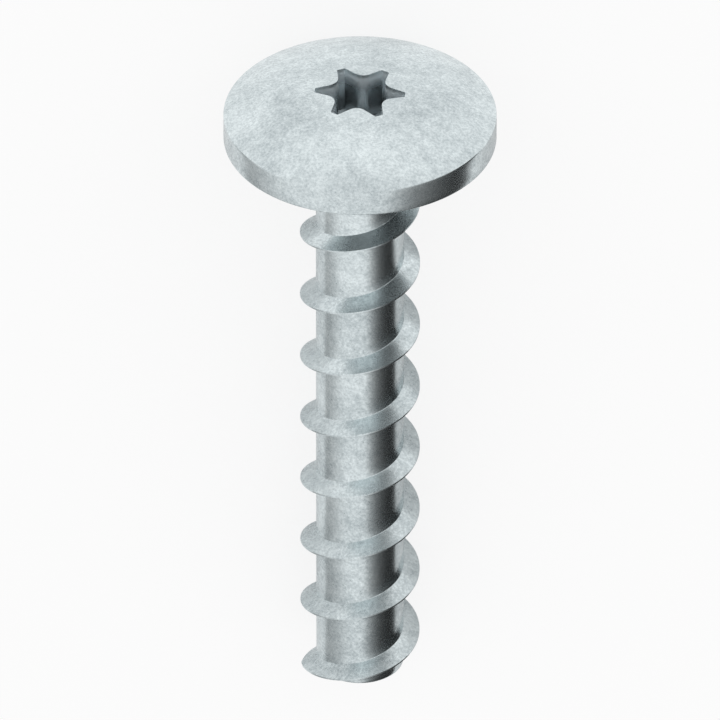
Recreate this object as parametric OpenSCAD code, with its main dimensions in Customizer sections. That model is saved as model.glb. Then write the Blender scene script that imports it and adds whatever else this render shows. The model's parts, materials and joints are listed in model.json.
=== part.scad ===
// Concrete screw: a low domed head with a six-lobe drive socket, on a core with a coarse cutting thread.
// One piece of steel, cold formed and thread rolled. It lies on its head's edge and a crest of its thread.

/* [Shank] */
// Length from under the head to the tip
shank_len = 40; // [30:1:80]
// Diameter of the core between the threads
core_d = 5.5; // [5:0.1:6.5]
// Radius where the neck runs out into the head
neck_fillet = 0.6; // [0.2:0.1:1]

/* [Thread] */
// Diameter over the thread's crest
thread_d = 7.5; // [7.2:0.1:9]
// Rise of the thread in one turn
pitch = 4.7; // [3.5:0.1:6]
// Width of the thread where it leaves the core
root_w = 1.15; // [0.8:0.05:1.6]
// Width of the thread's crest
crest_w = 0.1; // [0.1:0.05:0.5]
// Plain neck between the head and the thread
neck_len = 2.2; // [2.1:0.1:6]
// Turns over which the thread grows to its full height
runout_turns = 0.45; // [0.2:0.05:1]

/* [Head] */
// Diameter of the head
head_d = 17; // [14:0.5:22]
// Height of the head's upright rim
rim_h = 1.8; // [1.4:0.1:3]
// Height of the dome over the rim
dome_h = 1.75; // [1.4:0.05:2.2]
// Diameter of the flatter crown in the middle of the dome
crown_d = 5.6; // [4:0.2:7]
// Radius of the crown's curve
crown_r = 40; // [30:1:80]

/* [Drive socket] */
// Diameter over the points of the six lobes
socket_tip_d = 5.6; // [5:0.1:6.4]
// Diameter between the ribs that part the lobes
socket_rib_d = 3.6; // [3.4:0.05:4]
// Radius of each rib's round nose
socket_rib_r = 0.75; // [0.6:0.05:1]
// Slope of each lobe's straight sides towards its point
socket_side_deg = 21; // [15:1:24]
// Depth of the straight walls below the top of the dome
socket_depth = 3.2; // [2:0.1:3.4]
// Slope of the socket's conical floor
socket_floor_deg = 15; // [5:1:20]
// Turn of the socket against the thread's end at the tip
socket_turn = -8.5; // [-30:0.5:30]

/* [Rest] */
// Turns of thread between the tip and the crest that the screw lies on
rest_turn = 0.745; // [0.5:0.005:0.9]

/* [Hidden] */

core_r = core_d / 2;
crest_r = thread_d / 2;
head_r = head_d / 2;
crown_rim_r = crown_d / 2;
lobes = 6;
round_fn = 160;
// How far solids that are joined reach into each other, and cuts run out of a face
sink = 0.2;

// The dome is a crown arc that runs on smoothly into a rounder shoulder arc, which ends at the rim
dome_z = rim_h + dome_h;
crown_deg = asin(crown_rim_r / crown_r);
crown_rim_z = dome_z - crown_r * (1 - cos(crown_deg));
shoulder_deg = 2 * atan((crown_rim_z - rim_h) / (head_r - crown_rim_r)) - crown_deg;
shoulder_r = (head_r - crown_rim_r) / (sin(shoulder_deg) - sin(crown_deg));
shoulder_x = crown_rim_r - shoulder_r * sin(crown_deg);
shoulder_z = crown_rim_z - shoulder_r * cos(crown_deg);

// The thread is counted in turns up from the tip, where the middle of its crest leaves the end face
thread_turns = (shank_len - neck_len - root_w / 2) / pitch;
// It runs on past the tip by its own width, as the core does, and both are cut off there
overrun = root_w;
tip_turns = overrun / pitch;
turn_steps = 40;
thread_steps = ceil((thread_turns + tip_turns) * turn_steps);

// The screw lies on the edge of its head and on a crest near the tip, so its axis slopes
rest_depth = shank_len - rest_turn * pitch + crest_w / 2;
rest_deg = atan((head_r - crest_r) / rest_depth);

// Width of the thread's section at a radius
function thread_w(r) = root_w + (crest_w - root_w) * (r - core_r) / (crest_r - core_r);

// Radius of the crest, which rises out of the core over the first turns below the neck
function top_r(turn) =
    let (growth = min(1, (thread_turns - turn) / runout_turns))
    core_r - sink / 2 + (crest_r - core_r + sink / 2) * growth;

// The four corners of the thread's section, from its foot inside the core over the crest and back
function section(turn) =
    let (foot_r = core_r - sink, edges = [[foot_r, -1], [top_r(turn), -1], [top_r(turn), 1], [foot_r, 1]])
    [
        for (edge = edges)
            let (r = edge[0], z = turn * pitch - shank_len + edge[1] * thread_w(r) / 2)
            [r * cos(360 * turn), r * sin(360 * turn), z]
    ];

// A ridge that is swept up the core
module thread() {
    turns = [for (i = [0:thread_steps]) i / thread_steps * (thread_turns + tip_turns) - tip_turns];
    corners = len(section(0));
    ring = [0:corners - 1];
    polyhedron(
        points = [for (turn = turns) each section(turn)],
        faces = [
            [for (j = ring) corners - 1 - j],
            for (i = [0:thread_steps - 1], j = ring)
                let (a = corners * i + j, b = corners * i + (j + 1) % corners)
                each [[a, b, b + corners], [a, b + corners, a + corners]],
            [for (j = ring) corners * thread_steps + j]
        ]
    );
}

// Half of the head's section, from the axis out to the rim
module head_profile() {
    square([head_r, rim_h]);
    intersection() {
        translate([0, dome_z - crown_r]) circle(crown_r, $fn = round_fn);
        square([crown_rim_r, dome_z]);
    }
    intersection() {
        translate([shoulder_x, shoulder_z]) circle(shoulder_r, $fn = round_fn);
        square([head_r, dome_z]);
    }
}

// Half of the section of the core and the fillet under the head
module core_profile() {
    translate([0, -shank_len - overrun]) square([core_r, shank_len + overrun + sink]);
    difference() {
        translate([0, -neck_fillet]) square([core_r + neck_fillet, neck_fillet + sink]);
        translate([core_r + neck_fillet, -neck_fillet]) circle(neck_fillet, $fn = round_fn);
    }
}

// A rib between two lobes: a round nose with straight sides, which run on out past the points of the lobes
module rib_profile() {
    nose_x = socket_rib_d / 2 + socket_rib_r;
    side_deg = 180 / lobes + socket_side_deg;
    touch = [nose_x - socket_rib_r * sin(side_deg), socket_rib_r * cos(side_deg)];
    outer = touch + socket_tip_d / 2 * [cos(side_deg), sin(side_deg)];
    translate([nose_x, 0]) circle(socket_rib_r, $fn = round_fn);
    polygon([touch, [touch.x, -touch.y], [outer.x, -outer.y], outer]);
}

// The socket's outline: a circle over the points of the lobes, cut in by the ribs
module socket_profile() {
    difference() {
        circle(d = socket_tip_d, $fn = round_fn);
        for (i = [0:lobes - 1]) rotate((i + 0.5) * 360 / lobes) rib_profile();
    }
}

// The drive socket: straight walls over a conical floor
module socket() {
    floor_z = dome_z - socket_depth;
    floor_h = socket_tip_d / 2 * tan(socket_floor_deg);
    rotate(socket_turn) intersection() {
        translate([0, 0, floor_z - floor_h]) linear_extrude(floor_h + socket_depth + sink) socket_profile();
        rotate_extrude($fn = round_fn)
            polygon([
                [0, floor_z - floor_h],
                [socket_tip_d / 2, floor_z],
                [socket_tip_d / 2 + sink, floor_z],
                [socket_tip_d / 2 + sink, dome_z + 2 * sink],
                [0, dome_z + 2 * sink]
            ]);
    }
}

// What the shears take off at the tip
module tip_cut() {
    translate([0, 0, -shank_len - 2 * overrun])
        cylinder(h = 2 * overrun, r = crest_r + sink, $fn = round_fn);
}

module screw() {
    color("lightsteelblue") rotate([0, rest_deg - 90, 0]) rotate(180 - 360 * rest_turn)
        difference() {
            union() {
                rotate_extrude($fn = round_fn) head_profile();
                rotate_extrude($fn = round_fn) core_profile();
                thread();
            }
            socket();
            tip_cut();
        }
}

screw();
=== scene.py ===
"""Looks of the concrete screw: zinc plated steel, lying on its head's edge and a thread crest."""

import json
import math

import bmesh
import bpy
from mathutils import Matrix, Vector


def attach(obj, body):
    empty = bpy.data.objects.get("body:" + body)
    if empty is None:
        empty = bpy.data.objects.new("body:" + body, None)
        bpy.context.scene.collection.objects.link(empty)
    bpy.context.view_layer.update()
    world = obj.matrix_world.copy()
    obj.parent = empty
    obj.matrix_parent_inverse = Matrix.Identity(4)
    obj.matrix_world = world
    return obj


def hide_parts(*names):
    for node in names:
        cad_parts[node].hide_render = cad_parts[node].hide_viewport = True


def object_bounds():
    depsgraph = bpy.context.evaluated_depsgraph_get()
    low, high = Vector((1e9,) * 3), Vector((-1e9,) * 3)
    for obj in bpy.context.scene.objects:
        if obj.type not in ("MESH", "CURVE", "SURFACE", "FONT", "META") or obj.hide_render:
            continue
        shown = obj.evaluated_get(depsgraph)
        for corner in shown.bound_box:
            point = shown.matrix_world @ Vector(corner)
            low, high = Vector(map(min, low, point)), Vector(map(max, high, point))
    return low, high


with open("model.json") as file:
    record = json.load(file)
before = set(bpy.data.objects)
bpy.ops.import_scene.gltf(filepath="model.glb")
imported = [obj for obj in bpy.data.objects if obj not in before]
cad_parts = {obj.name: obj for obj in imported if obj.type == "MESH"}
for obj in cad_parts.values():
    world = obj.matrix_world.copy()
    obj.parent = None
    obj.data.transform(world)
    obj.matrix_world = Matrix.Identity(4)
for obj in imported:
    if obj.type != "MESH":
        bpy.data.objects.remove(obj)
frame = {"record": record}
cad_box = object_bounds()

MM = 0.001
WHITE = (1, 1, 1, 1)

# Shank and thread, as in the part's source
SHANK_LEN = 40 * MM
CORE_R = 2.75 * MM
CREST_R = 3.75 * MM
PITCH = 4.7 * MM
ROOT_W = 1.15 * MM
CREST_W = 0.1 * MM
NECK_LEN = 2.2 * MM
NECK_FILLET = 0.6 * MM
RUNOUT_TURNS = 0.45
THREAD_TURNS = (SHANK_LEN - NECK_LEN - ROOT_W / 2) / PITCH
# The thread fades out below the core's surface, and runs into it with a small round
RUNOUT_R = CORE_R - 0.1 * MM
ROOT_ROUND = 0.03 * MM
TIP_ROUND = 0.12 * MM

# Head
HEAD_R = 8.5 * MM
RIM_H = 1.8 * MM
DOME_H = 1.75 * MM
CROWN_RIM_R = 2.8 * MM
CROWN_R = 40 * MM
RIM_ROUND = 0.13 * MM

# Drive socket
LOBES = 6
SOCKET_TIP_R = 2.8 * MM
SOCKET_RIB_R = 1.8 * MM
SOCKET_NOSE_R = 0.75 * MM
SOCKET_NOSE_PLACE = SOCKET_RIB_R + SOCKET_NOSE_R
SOCKET_SIDE_SLOPE = math.radians(21)
SOCKET_DEPTH = 3.2 * MM
SOCKET_FLOOR_SLOPE = math.radians(15)
SOCKET_TURN = math.radians(-8.5)
SOCKET_ROUND = 0.07 * MM
# The dome's rings change over from circles to the socket's outline inside this radius
MOUTH_R = 3.4 * MM

# Turns of thread between the tip and the crest that the screw lies on
REST_TURN = 0.745

# Mesh columns round the axis, shared out over a rib's nose, its two sides and the end of a lobe
NOSE_COLUMNS = 12
SIDE_COLUMNS = 6
TIP_COLUMNS = 6
RIB_COLUMNS = NOSE_COLUMNS + 2 * SIDE_COLUMNS
COLUMNS = LOBES * (RIB_COLUMNS + TIP_COLUMNS)
# They start where the first rib does, as the socket's outline does, so that rings join without a twist
FIRST_ANGLE = SOCKET_TURN + math.pi / LOBES - math.pi * RIB_COLUMNS / COLUMNS
COLUMN_ANGLES = [FIRST_ANGLE + 2 * math.pi * i / COLUMNS for i in range(COLUMNS)]

# Mesh rows of each form, from the tip, with rings at shares of its radius, to the socket's floor
TIP_SHARES = (0.4, 0.8)
TIP_ROWS = 3
SECTION_ROWS = 4
FILLET_ROWS = 8
BEARING_ROWS = 6
RIM_ROUND_ROWS = 5
RIM_ROWS = 4
DOME_ROWS = 18
MOUTH_ROWS = 5
SOCKET_ROUND_ROWS = 4
WALL_ROWS = 6
FLOOR_ROWS = 4
# Points nearer than this become one, and edges sharper than this stay sharp
WELD = 0.0005 * MM
SHARP_ANGLE = math.radians(35)

# The screw lies as in the frame: along the axis of its bearing face, and turned to rest on one crest
HEAD_WAY = -Vector({m["name"]: m for m in frame["record"]["mounts"]}["bearing_face"]["axis"])
LEAN = math.atan2(HEAD_WAY.x, HEAD_WAY.z)
ROLL = math.pi - 2 * math.pi * REST_TURN
PLACEMENT = Matrix.Rotation(LEAN, 4, "Y") @ Matrix.Rotation(ROLL, 4, "Z")

# The photograph's view: from above the head, at the isometric angle to the axis, and turned round it
VIEW_TILT = math.asin(math.tan(math.radians(30)))
VIEW_TURN = math.radians(-1.8)
VIEW_WIDTH = 45.06 * MM
VIEW_DEPTH = 16.96 * MM
LENS_MM = 1400
SENSOR_MM = 36

# Zinc: colour and roughness where the mottled tone is low and where it is high
DULL_ZINC = (0.46, 0.52, 0.54, 1)
BRIGHT_ZINC = (0.84, 0.915, 0.93, 1)
DULL_ROUGHNESS = 0.3
BRIGHT_ROUGHNESS = 0.2
TONE_RANGE = (0.35, 0.65)
# The tone is a sum of fine grain, mottle and cloud, each with a scale that counts its spots in a metre
GRAIN_SCALE = 6000
MOTTLE_SCALE = 1500
CLOUD_SCALE = 260
GRAIN_SHARE = 0.4
MOTTLE_SHARE = 0.3
CLOUD_SHARE = 1 - GRAIN_SHARE - MOTTLE_SHARE
SPOT_DETAIL = 3
SPOT_ROUGHNESS = 0.6
CLOUD_DETAIL = 2
GRAIN_BUMP = 0.25
GRAIN_DEPTH = 0.01 * MM
# Painted light in the socket, from its mouth down: a lighter zinc colour with its own roughness, and
# painted shade that darkens it with depth
SOCKET_REACH = 2.87 * MM
SOCKET_FOOT = -0.5 * MM
SOCKET_MOUTH = (3.5 * MM, 3.1 * MM)
SOCKET_DEEP_SHADE = (2.6 * MM, 0.1 * MM)
PAINTED_LIGHT_ZINC = (0.9, 0.96, 0.985, 1)
FRESH_ROUGHNESS = 0.26
# Near the mouth the socket's walls are matt, and so take up more of the room's light
MATT_WALL = (2.3 * MM, 3 * MM)
MATT_ROUGHNESS = 0.6
# Painted shade darkens the corner under the head too, the more so the nearer the neck, by the same
# share as in the socket's depth
UNDER_SHADE_REACH = 0.02 * MM
UNDER_SHADE_FADE = (8 * MM, 4.4 * MM)
PAINTED_SHADE_BY = 0.55

# Stage: cards in a V beyond the tip and papers on the floor between them, which only the metal shows;
# the right paper's darker grey is painted shade of the floor beside the screw
CARD_APEX_X = 84 * MM
CARD_STEP_X = 24 * MM
CARD_WING_X = -20 * MM
DARK_WING_Y = 48 * MM
DARK_APEX_TALL = 48 * MM
DARK_WING_TALL = 96 * MM
DARK_LIFT = 5.5 * MM
GREY_WING_Y = 44 * MM
GREY_TALL = 28 * MM
# Each card's values of the fade: grey at the foot and at the top, and how late it changes on the way
FADE_INPUTS = ("Foot Tone", "Top Tone", "Bend")
DARK_FAR_TONES = (0.025, 0.9, 2.1)
DARK_NEAR_TONES = (0.025, 0.85, 1.2)
GREY_TONES = (0.42, 0.9, 1)
PAPER_HEAD_X = 1 * MM
PAPER_TIP_X = 46 * MM
PAPER_WIDE = 30 * MM
PAPER_LIFT = 0.02 * MM
RIGHT_PAPER_SHADE_TONE = 0.75
LEFT_PAPER_TONE = 0.95
FLOOR_REACH = 3
FLOOR_PAINT = (0.95, 0.95, 0.95, 1)
FLOOR_GLOW = 0.8
ROOM_LIGHT = 0.9

# The dome: a crown arc that runs on smoothly into a rounder shoulder arc
DOME_Z = RIM_H + DOME_H
CROWN_ANGLE = math.asin(CROWN_RIM_R / CROWN_R)
CROWN_RIM_Z = DOME_Z - CROWN_R * (1 - math.cos(CROWN_ANGLE))
SHOULDER_ANGLE = 2 * math.atan2(CROWN_RIM_Z - RIM_H, HEAD_R - CROWN_RIM_R) - CROWN_ANGLE
SHOULDER_R = (HEAD_R - CROWN_RIM_R) / (math.sin(SHOULDER_ANGLE) - math.sin(CROWN_ANGLE))
SHOULDER_X = CROWN_RIM_R - SHOULDER_R * math.sin(CROWN_ANGLE)
SHOULDER_Z = CROWN_RIM_Z - SHOULDER_R * math.cos(CROWN_ANGLE)


def steps(start, end, count):
    """Values from start to end in even steps, without the start."""
    return [start + (end - start) * i / count for i in range(1, count + 1)]


def soft_max(a, b, reach):
    """The larger of two values, blended where they differ by less than reach."""
    near = max(reach - abs(a - b), 0) / reach
    return max(a, b) + near * near * reach / 4


def crest_of(turn):
    """Radius and width of the thread's crest at a turn above the tip."""
    growth = min(max((THREAD_TURNS - turn) / RUNOUT_TURNS, 0), 1)
    top_r = RUNOUT_R + (CREST_R - RUNOUT_R) * growth
    return top_r, CREST_W + (ROOT_W - CREST_W) * (CREST_R - top_r) / (CREST_R - CORE_R)


def shank_r(share, z):
    """Radius of the shank at a share of a turn round the axis and a height."""
    turn = (z + SHANK_LEN) / PITCH
    crest_turn = round(turn - share) + share
    top_r, top_w = crest_of(crest_turn)
    from_edge = abs(turn - crest_turn) * PITCH - top_w / 2
    flank_r = top_r - max(from_edge, 0) * 2 * (CREST_R - CORE_R) / (ROOT_W - CREST_W)
    return soft_max(CORE_R, flank_r, ROOT_ROUND)


def dome_z(r):
    """Height of the head's top at a radius."""
    if r < CROWN_RIM_R:
        return DOME_Z - CROWN_R + math.sqrt(CROWN_R * CROWN_R - r * r)
    return SHOULDER_Z + math.sqrt(SHOULDER_R ** 2 - (r - SHOULDER_X) ** 2)


def socket_outline(grow):
    """Points round the socket's outline, moved out by grow: round-nosed ribs between blunt lobes."""
    tip_r = SOCKET_TIP_R + grow
    nose_r = SOCKET_NOSE_R - grow
    lobe = 2 * math.pi / LOBES
    side_angle = lobe / 2 + SOCKET_SIDE_SLOPE
    side_way = Vector((math.cos(side_angle), math.sin(side_angle)))
    nose_half = math.pi / 2 - side_angle
    nose = []
    for angle in [-nose_half] + steps(-nose_half, nose_half, NOSE_COLUMNS):
        nose.append(Vector((SOCKET_NOSE_PLACE - nose_r * math.cos(angle), nose_r * math.sin(angle))))
    # A side runs straight on from the nose until it meets the circle over the lobes' ends
    touch = nose[-1]
    along = touch.dot(side_way)
    side_end = touch + side_way * (math.sqrt(along ** 2 + tip_r ** 2 - touch.length_squared) - along)
    side = [touch.lerp(side_end, share) for share in steps(0, 1, SIDE_COLUMNS)]
    other_side = [Vector((p.x, -p.y)) for p in reversed(side)]
    end_angle = math.atan2(side_end.y, side_end.x)
    tip = []
    for angle in steps(end_angle, lobe - end_angle, TIP_COLUMNS)[:-1]:
        tip.append(Vector((tip_r * math.cos(angle), tip_r * math.sin(angle))))
    points = []
    for i in range(LOBES):
        turned = Matrix.Rotation(SOCKET_TURN + (i + 0.5) * lobe, 2)
        points += [turned @ p for p in other_side + nose + side + tip]
    return points


class Surface:
    """A closed skin of rings, joined one after another from the tip to the socket's floor."""

    def __init__(self):
        self.points = []
        self.faces = []
        self.last = None

    def add(self, points):
        """Adds points, and gives their numbers."""
        first = len(self.points)
        self.points.extend(points)
        return list(range(first, len(self.points)))

    def face(self, *corners):
        """A face of the corners that differ, if they make one."""
        distinct = list(dict.fromkeys(corners))
        if len(distinct) > 2:
            self.faces.append(distinct)

    def join(self, ring):
        """Joins a ring of points to the last one."""
        if self.last:
            for i in range(COLUMNS):
                j = (i + 1) % COLUMNS
                self.face(self.last[i], self.last[j], ring[j], ring[i])
        self.last = ring

    def ring(self, points):
        """A ring through given points."""
        self.join(self.add(points))

    def loop(self, radii, z):
        """A level ring with a radius for each column."""
        self.ring([(r * math.cos(a), r * math.sin(a), z) for r, a in zip(radii, COLUMN_ANGLES)])

    def circle(self, r, z):
        """A level round ring."""
        self.loop([r] * COLUMNS, z)

    def pole(self, z):
        """One point on the axis, which closes the skin."""
        self.join(self.add([(0, 0, z)]) * COLUMNS)


def turn_heights(crest_w):
    """Heights of one turn's rows above the middle of its crest, closest where the section bends."""
    foot = max(ROOT_W / 2, crest_w / 2 + ROOT_ROUND)
    upper = [0, crest_w / 2]
    for height in (foot - ROOT_ROUND / 2, foot + ROOT_ROUND / 2, PITCH / 2):
        upper += steps(upper[-1], height, SECTION_ROWS)
    return [-h for h in reversed(upper)] + upper[1:-1]


def add_shank(skin):
    """The core and its thread, in columns whose rows climb with it, so each turn meets the next."""
    low_z, high_z = -SHANK_LEN + TIP_ROUND, -NECK_FILLET
    turns = range(-1, math.ceil(SHANK_LEN / PITCH) + 2)
    columns = []
    for angle in COLUMN_ANGLES:
        share = angle / (2 * math.pi)
        rows = []
        for turn in turns:
            heights = turn_heights(crest_of(turn + share)[1])
            for height in heights:
                z = min(max((turn + share) * PITCH - SHANK_LEN + height, low_z), high_z)
                r = shank_r(share, z)
                rows.append((r * math.cos(angle), r * math.sin(angle), z))
        columns.append(skin.add(rows))
    last_row = len(columns[0]) - 1
    for i in range(COLUMNS):
        here, there = columns[i], columns[(i + 1) % COLUMNS]
        climb = len(heights) if i == COLUMNS - 1 else 0
        for row in range(-climb, last_row):
            a, b = max(row, 0), max(row + 1, 0)
            c, d = min(row + 1 + climb, last_row), min(row + climb, last_row)
            skin.face(here[a], there[d], there[c], here[b])
    skin.join([column[0] for column in columns])
    skin.last = [column[-1] for column in columns]


def add_tip(skin):
    """The square cut end, with its edge broken."""
    low_z = -SHANK_LEN + TIP_ROUND
    edge = [shank_r(a / (2 * math.pi), low_z) for a in COLUMN_ANGLES]
    skin.pole(-SHANK_LEN)
    for share in TIP_SHARES:
        skin.loop([r * share for r in edge], -SHANK_LEN)
    for turn in [0] + steps(0, math.pi / 2, TIP_ROWS)[:-1]:
        inset = TIP_ROUND * (1 - math.sin(turn))
        skin.loop([r - inset for r in edge], low_z - TIP_ROUND * math.cos(turn))


def add_head(skin):
    """The fillet at the neck, the bearing face, the rim and the dome."""
    for turn in steps(0, math.pi / 2, FILLET_ROWS):
        skin.circle(CORE_R + NECK_FILLET * (1 - math.cos(turn)), NECK_FILLET * (math.sin(turn) - 1))
    for r in steps(CORE_R + NECK_FILLET, HEAD_R - RIM_ROUND, BEARING_ROWS):
        skin.circle(r, 0)
    for turn in steps(0, math.pi / 2, RIM_ROUND_ROWS):
        skin.circle(HEAD_R - RIM_ROUND * (1 - math.sin(turn)), RIM_ROUND * (1 - math.cos(turn)))
    edge_turn = math.pi / 2 - SHOULDER_ANGLE
    edge_z = RIM_H - RIM_ROUND * math.tan(edge_turn / 2)
    for z in steps(RIM_ROUND, edge_z, RIM_ROWS):
        skin.circle(HEAD_R, z)
    for turn in steps(0, edge_turn, RIM_ROUND_ROWS):
        skin.circle(HEAD_R - RIM_ROUND * (1 - math.cos(turn)), edge_z + RIM_ROUND * math.sin(turn))
    dome_edge_r = HEAD_R - RIM_ROUND * (1 - math.cos(edge_turn))
    for r in steps(dome_edge_r, MOUTH_R, DOME_ROWS):
        skin.circle(r, dome_z(r))


def add_socket(skin):
    """The socket's rounded mouth, its straight walls and its conical floor."""
    mouth = socket_outline(SOCKET_ROUND)
    for share in steps(0, 1, MOUTH_ROWS):
        ring = []
        for angle, point in zip(COLUMN_ANGLES, mouth):
            p = Vector((MOUTH_R * math.cos(angle), MOUTH_R * math.sin(angle))).lerp(point, share)
            ring.append((p.x, p.y, dome_z(p.length)))
        skin.ring(ring)
    for turn in steps(0, math.pi / 2, SOCKET_ROUND_ROWS):
        grow = SOCKET_ROUND * (1 - math.sin(turn))
        drop = SOCKET_ROUND * (1 - math.cos(turn))
        skin.ring([(p.x, p.y, dome_z(p.length) - drop) for p in socket_outline(grow)])
    walls = socket_outline(0)
    floor_z = DOME_Z - SOCKET_DEPTH
    floor_rise = math.tan(SOCKET_FLOOR_SLOPE)
    for share in steps(0, 1, WALL_ROWS):
        ring = []
        for p in walls:
            top_z = dome_z(p.length) - SOCKET_ROUND
            foot_z = floor_z - floor_rise * (SOCKET_TIP_R - p.length)
            ring.append((p.x, p.y, top_z + (foot_z - top_z) * share))
        skin.ring(ring)
    for share in steps(1, 0, FLOOR_ROWS)[:-1]:
        inner = [p * share for p in walls]
        skin.ring([(p.x, p.y, floor_z - floor_rise * (SOCKET_TIP_R - p.length)) for p in inner])
    skin.pole(floor_z - floor_rise * SOCKET_TIP_R)


def build_screw():
    """One closed mesh that stands for the CAD screw, with its edges and its thread's foot rounded."""
    skin = Surface()
    add_tip(skin)
    add_shank(skin)
    add_head(skin)
    add_socket(skin)
    mesh = bpy.data.meshes.new("plated_screw")
    mesh.from_pydata(skin.points, [], skin.faces)
    work = bmesh.new()
    work.from_mesh(mesh)
    bmesh.ops.remove_doubles(work, verts=work.verts, dist=WELD)
    bmesh.ops.dissolve_degenerate(work, edges=work.edges, dist=WELD)
    work.to_mesh(mesh)
    work.free()
    mesh.transform(PLACEMENT)
    mesh.shade_smooth()
    mesh.set_sharp_from_angle(angle=SHARP_ANGLE)
    screw = bpy.data.objects.new("plated_screw", mesh)
    bpy.context.scene.collection.objects.link(screw)
    shading = screw.modifiers.new("even_shading", "WEIGHTED_NORMAL")
    shading.keep_sharp = True
    return screw


def put(tree, value, socket):
    """Links a socket to the one that is given, or writes a value on it."""
    if isinstance(value, bpy.types.NodeSocket):
        tree.links.new(value, socket)
    else:
        socket.default_value = value


def add_node(tree, kind, **inputs):
    """A node with its sockets put by name."""
    made = tree.nodes.new(kind)
    for name, value in inputs.items():
        put(tree, value, made.inputs[name.replace("_", " ")])
    return made


def math_node(tree, operation, *values):
    """A sum, product or the like of values and sockets."""
    made = tree.nodes.new("ShaderNodeMath")
    made.operation = operation
    for socket, value in zip(made.inputs, values):
        put(tree, value, socket)
    return made.outputs[0]


def mix_node(tree, kind, *values):
    """A blend of two values or colours, after the share of the second."""
    made = tree.nodes.new("ShaderNodeMix")
    made.data_type = kind
    for socket, value in zip([s for s in made.inputs if s.enabled], values):
        put(tree, value, socket)
    return next(s for s in made.outputs if s.enabled)


def rising(tree, value, start, end):
    """A mask that rises from 0 to 1 while a value goes from start to end."""
    made = add_node(tree, "ShaderNodeMapRange", Value=value, From_Min=start, From_Max=end)
    return made.outputs["Result"]


def recesses(tree, spot):
    """Masks of the socket's inside (lighter colour, painted light), its matt mouth, its depth and the
    corner under the head (painted shade).
    """
    place = add_node(tree, "ShaderNodeSeparateXYZ", Vector=spot).outputs
    across = add_node(tree, "ShaderNodeCombineXYZ", X=place["X"], Y=place["Y"])
    out = tree.nodes.new("ShaderNodeVectorMath")
    out.operation = "LENGTH"
    tree.links.new(across.outputs[0], out.inputs[0])
    from_axis = out.outputs["Value"]
    inside = math_node(tree, "LESS_THAN", from_axis, SOCKET_REACH)
    above = math_node(tree, "GREATER_THAN", place["Z"], SOCKET_FOOT)
    inside = math_node(tree, "MULTIPLY", inside, above)
    socket = math_node(tree, "MULTIPLY", inside, rising(tree, place["Z"], *SOCKET_MOUTH))
    matt = math_node(tree, "MULTIPLY", socket, rising(tree, place["Z"], *MATT_WALL))
    # Painted shade in the socket, darker with depth
    deep_shade = math_node(tree, "MULTIPLY", inside, rising(tree, place["Z"], *SOCKET_DEEP_SHADE))
    # Painted shade in the corner under the head, darker towards the neck
    outside = math_node(tree, "GREATER_THAN", from_axis, CORE_R - UNDER_SHADE_REACH)
    below = math_node(tree, "LESS_THAN", place["Z"], UNDER_SHADE_REACH)
    under = math_node(tree, "MULTIPLY", outside, below)
    under = math_node(tree, "MULTIPLY", under, rising(tree, from_axis, *UNDER_SHADE_FADE))
    under = math_node(tree, "MULTIPLY", under, rising(tree, place["Z"], -NECK_FILLET, 0))
    return socket, matt, deep_shade, under


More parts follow.
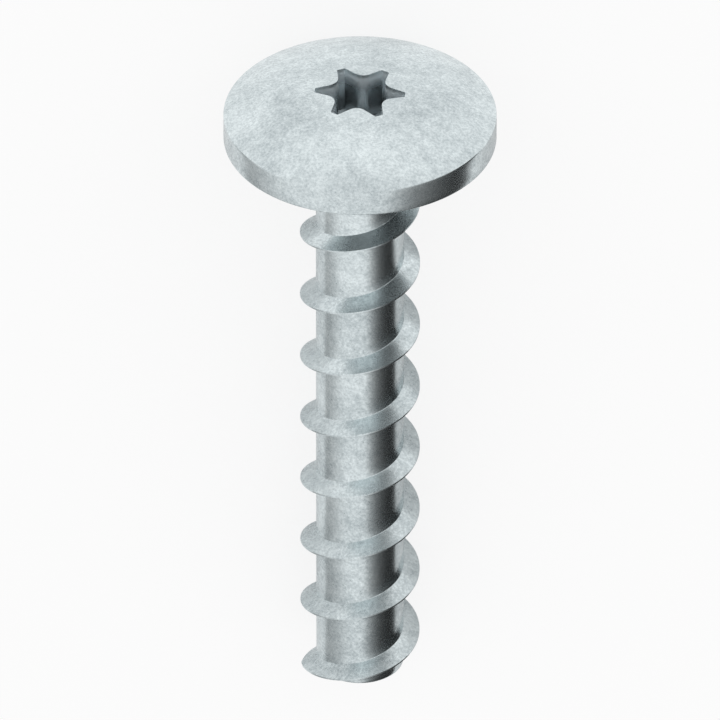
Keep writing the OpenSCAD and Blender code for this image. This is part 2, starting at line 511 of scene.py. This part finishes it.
def zinc_plate():
    """Satin zinc on steel, with a fine mottled grain; in the socket a lighter colour (painted light)
    and its own roughness, with painted shade in its depth and in the corner under the head.
    """
    material = bpy.data.materials.new("zinc_plate")
    material.use_nodes = True
    tree = material.node_tree
    shader = tree.nodes["Principled BSDF"]
    shader.inputs["Metallic"].default_value = 1
    # The grain is laid out along the screw's own axis, wherever the screw lies
    spot = add_node(tree, "ShaderNodeTexCoord").outputs["Object"]
    turned = add_node(tree, "ShaderNodeMapping", Vector=spot, Rotation=PLACEMENT.inverted().to_euler())
    spot = turned.outputs["Vector"]
    spots = {"Vector": spot, "Detail": SPOT_DETAIL, "Roughness": SPOT_ROUGHNESS}
    grain = add_node(tree, "ShaderNodeTexNoise", Scale=GRAIN_SCALE, **spots)
    mottle = add_node(tree, "ShaderNodeTexNoise", Scale=MOTTLE_SCALE, **spots)
    cloud = add_node(tree, "ShaderNodeTexNoise", Vector=spot, Scale=CLOUD_SCALE, Detail=CLOUD_DETAIL)
    tone = math_node(tree, "MULTIPLY", grain.outputs["Fac"], GRAIN_SHARE)
    tone = math_node(tree, "MULTIPLY_ADD", mottle.outputs["Fac"], MOTTLE_SHARE, tone)
    tone = math_node(tree, "MULTIPLY_ADD", cloud.outputs["Fac"], CLOUD_SHARE, tone)
    ramp = tree.nodes.new("ShaderNodeValToRGB")
    for element, place, colour in zip(ramp.color_ramp.elements, TONE_RANGE, (DULL_ZINC, BRIGHT_ZINC)):
        element.position = place
        element.color = colour
    tree.links.new(tone, ramp.inputs["Fac"])
    socket, matt, deep_shade, under = recesses(tree, spot)
    # Painted light: the socket's inside takes a lighter, even zinc colour in place of the grain
    plate = mix_node(tree, "RGBA", socket, ramp.outputs["Color"], PAINTED_LIGHT_ZINC)
    # Painted shade: darker in the socket's depth and in the corner under the head
    painted_shade = math_node(tree, "ADD", deep_shade, under)
    lit = math_node(tree, "MULTIPLY_ADD", painted_shade, -PAINTED_SHADE_BY, 1)
    colour = tree.nodes.new("ShaderNodeVectorMath")
    colour.operation = "SCALE"
    tree.links.new(plate, colour.inputs[0])
    tree.links.new(lit, colour.inputs["Scale"])
    tree.links.new(colour.outputs[0], shader.inputs["Base Color"])
    rough = add_node(
        tree, "ShaderNodeMapRange", Value=tone, From_Min=TONE_RANGE[0], From_Max=TONE_RANGE[1],
        To_Min=DULL_ROUGHNESS, To_Max=BRIGHT_ROUGHNESS,
    )
    rough = mix_node(tree, "FLOAT", socket, rough.outputs["Result"], FRESH_ROUGHNESS)
    rough = mix_node(tree, "FLOAT", matt, rough, MATT_ROUGHNESS)
    tree.links.new(rough, shader.inputs["Roughness"])
    bump = add_node(tree, "ShaderNodeBump", Strength=GRAIN_BUMP, Distance=GRAIN_DEPTH)
    tree.links.new(grain.outputs["Fac"], bump.inputs["Height"])
    tree.links.new(bump.outputs["Normal"], shader.inputs["Normal"])
    return material


def pale_floor():
    """A white floor that keeps the screw's shadow."""
    material = bpy.data.materials.new("pale_floor")
    material.use_nodes = True
    tree = material.node_tree
    tree.nodes.remove(tree.nodes["Principled BSDF"])
    matt = add_node(tree, "ShaderNodeBsdfDiffuse", Color=FLOOR_PAINT).outputs[0]
    glow = add_node(tree, "ShaderNodeEmission", Color=WHITE, Strength=1).outputs[0]
    path = add_node(tree, "ShaderNodeLightPath").outputs
    seen = math_node(tree, "MAXIMUM", path["Is Camera Ray"], path["Is Glossy Ray"])
    seen = math_node(tree, "MAXIMUM", seen, path["Is Transmission Ray"])
    mix = tree.nodes.new("ShaderNodeMixShader")
    tree.links.new(math_node(tree, "MULTIPLY", seen, FLOOR_GLOW), mix.inputs[0])
    tree.links.new(matt, mix.inputs[1])
    tree.links.new(glow, mix.inputs[2])
    tree.links.new(mix.outputs[0], tree.nodes["Material Output"].inputs["Surface"])
    return material


def upright_fade():
    """A node group that fades a card upwards from one grey to another."""
    group = bpy.data.node_groups.new("upright_fade", "ShaderNodeTree")
    for name in FADE_INPUTS:
        group.interface.new_socket(name=name, in_out="INPUT", socket_type="NodeSocketFloat")
    group.interface.new_socket(name="Tone", in_out="OUTPUT", socket_type="NodeSocketFloat")
    given = group.nodes.new("NodeGroupInput").outputs
    foot_tone, top_tone, bend = [given[name] for name in FADE_INPUTS]
    place = add_node(group, "ShaderNodeTexCoord").outputs["UV"]
    place = add_node(group, "ShaderNodeSeparateXYZ", Vector=place)
    fade = add_node(group, "ShaderNodeMapRange", Value=place.outputs["Y"])
    fade.interpolation_type = "SMOOTHSTEP"
    rise = math_node(group, "POWER", fade.outputs["Result"], bend)
    tone = mix_node(group, "FLOAT", rise, foot_tone, top_tone)
    group.links.new(tone, group.nodes.new("NodeGroupOutput").inputs["Tone"])
    return group


def card_finish(name, fade, tones):
    """An even card with its own values of the upright fade."""
    material = bpy.data.materials.new(name)
    material.use_nodes = True
    tree = material.node_tree
    tree.nodes.remove(tree.nodes["Principled BSDF"])
    placed = tree.nodes.new("ShaderNodeGroup")
    placed.node_tree = fade
    for socket, value in zip(FADE_INPUTS, tones):
        placed.inputs[socket].default_value = value
    glow = add_node(tree, "ShaderNodeEmission", Color=placed.outputs["Tone"], Strength=1)
    tree.links.new(glow.outputs[0], tree.nodes["Material Output"].inputs["Surface"])
    return material


def paper_finish(name, tone):
    """Matt grey paper."""
    material = bpy.data.materials.new(name)
    material.use_nodes = True
    shader = material.node_tree.nodes["Principled BSDF"]
    shader.inputs["Base Color"].default_value = (tone, tone, tone, 1)
    shader.inputs["Roughness"].default_value = 1
    shader.inputs["Specular IOR Level"].default_value = 0
    return material


def add_panel(name, corners, material):
    """A flat four-cornered stage piece, with its second corner pair at the top."""
    mesh = bpy.data.meshes.new(name)
    mesh.from_pydata(corners, [], [(0, 1, 2, 3)])
    uv = mesh.uv_layers.new(name="upright")
    for loop, place in zip(uv.data, ((0, 0), (1, 0), (1, 1), (0, 1))):
        loop.uv = place
    mesh.materials.append(material)
    panel = bpy.data.objects.new(name, mesh)
    bpy.context.scene.collection.objects.link(panel)
    return panel


def add_reflected(name, corners, material):
    """A stage piece that only the metal shows."""
    panel = add_panel(name, corners, material)
    panel.visible_camera = False
    panel.visible_diffuse = False
    panel.visible_shadow = False


def between(x, apex, wing):
    """A value at a place along the screw, between those where the cards meet and at a wing's end."""
    return apex + (wing - apex) * (CARD_APEX_X - x) / (CARD_APEX_X - CARD_WING_X)


def add_card(name, ends, wing_y, foot_z, tall, finish):
    """A card between two places along the screw, as tall as it is given at the apex and at the wing."""
    low = [(x, between(x, 0, wing_y), foot_z) for x in ends]
    high = [(x, y, foot_z + between(x, *tall)) for x, y, _ in reversed(low)]
    add_reflected(name, low + high, finish)


def add_paper(name, side, floor_z, tone):
    """Paper on the floor, along one side of the screw."""
    corners = [(PAPER_HEAD_X, 0), (PAPER_TIP_X, 0), (PAPER_TIP_X, side), (PAPER_HEAD_X, side)]
    add_reflected(name, [(x, y, floor_z + PAPER_LIFT) for x, y in corners], paper_finish(name, tone))


def set_stage(floor_z):
    """A pale floor in a white room, with the cards and papers that the metal shows."""
    ends = [(-1, -1), (1, -1), (1, 1), (-1, 1)]
    add_panel("floor", [(x * FLOOR_REACH, y * FLOOR_REACH, floor_z) for x, y in ends], pale_floor())
    fade = upright_fade()
    dark_tall = DARK_APEX_TALL, DARK_WING_TALL
    far = card_finish("dark_far_card", fade, DARK_FAR_TONES)
    add_card("dark_far_card", (CARD_STEP_X, CARD_APEX_X), DARK_WING_Y, floor_z, dark_tall, far)
    near = card_finish("dark_near_card", fade, DARK_NEAR_TONES)
    near_z = floor_z + DARK_LIFT
    add_card("dark_near_card", (CARD_WING_X, CARD_STEP_X), DARK_WING_Y, near_z, dark_tall, near)
    grey = card_finish("grey_card", fade, GREY_TONES)
    grey_tall = GREY_TALL, GREY_TALL
    add_card("grey_card", (CARD_WING_X, CARD_APEX_X), -GREY_WING_Y, floor_z, grey_tall, grey)
    # The right paper is darker grey: painted shade of the floor on that side, as the metal shows it
    add_paper("right_shade_paper", PAPER_WIDE, floor_z, RIGHT_PAPER_SHADE_TONE)
    add_paper("left_paper", -PAPER_WIDE, floor_z, LEFT_PAPER_TONE)
    world = bpy.data.worlds.new("white_room")
    bpy.context.scene.world = world
    world.use_nodes = True
    light = world.node_tree.nodes["Background"]
    light.inputs["Color"].default_value = WHITE
    light.inputs["Strength"].default_value = ROOM_LIGHT


def view_ways():
    """The photograph's ways to the side, up and back towards the camera, as the screw lies."""
    front_way = Matrix.Rotation(VIEW_TURN, 3, HEAD_WAY) @ Vector((HEAD_WAY.z, 0, -HEAD_WAY.x))
    back = math.sin(VIEW_TILT) * HEAD_WAY + math.cos(VIEW_TILT) * front_way
    up = math.cos(VIEW_TILT) * HEAD_WAY - math.sin(VIEW_TILT) * front_way
    return up.cross(back), up, back


def add_camera(side, up, back):
    """Looks down on the lying screw, with the head at the top of the picture."""
    data = bpy.data.cameras.new("camera")
    data.lens = LENS_MM
    data.sensor_width = SENSOR_MM
    camera = bpy.data.objects.new("camera", data)
    bpy.context.scene.collection.objects.link(camera)
    spot = -VIEW_DEPTH * HEAD_WAY + back * (VIEW_WIDTH * LENS_MM / SENSOR_MM)
    turned = Matrix((side, up, back)).transposed()
    camera.matrix_world = Matrix.Translation(spot) @ turned.to_4x4()
    bpy.context.scene.camera = camera


screw = build_screw()
screw.data.materials.append(zinc_plate())
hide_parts("screw")
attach(screw, "root")
set_stage(cad_box[0].z)
add_camera(*view_ways())
bpy.context.scene.view_settings.view_transform = "Standard"
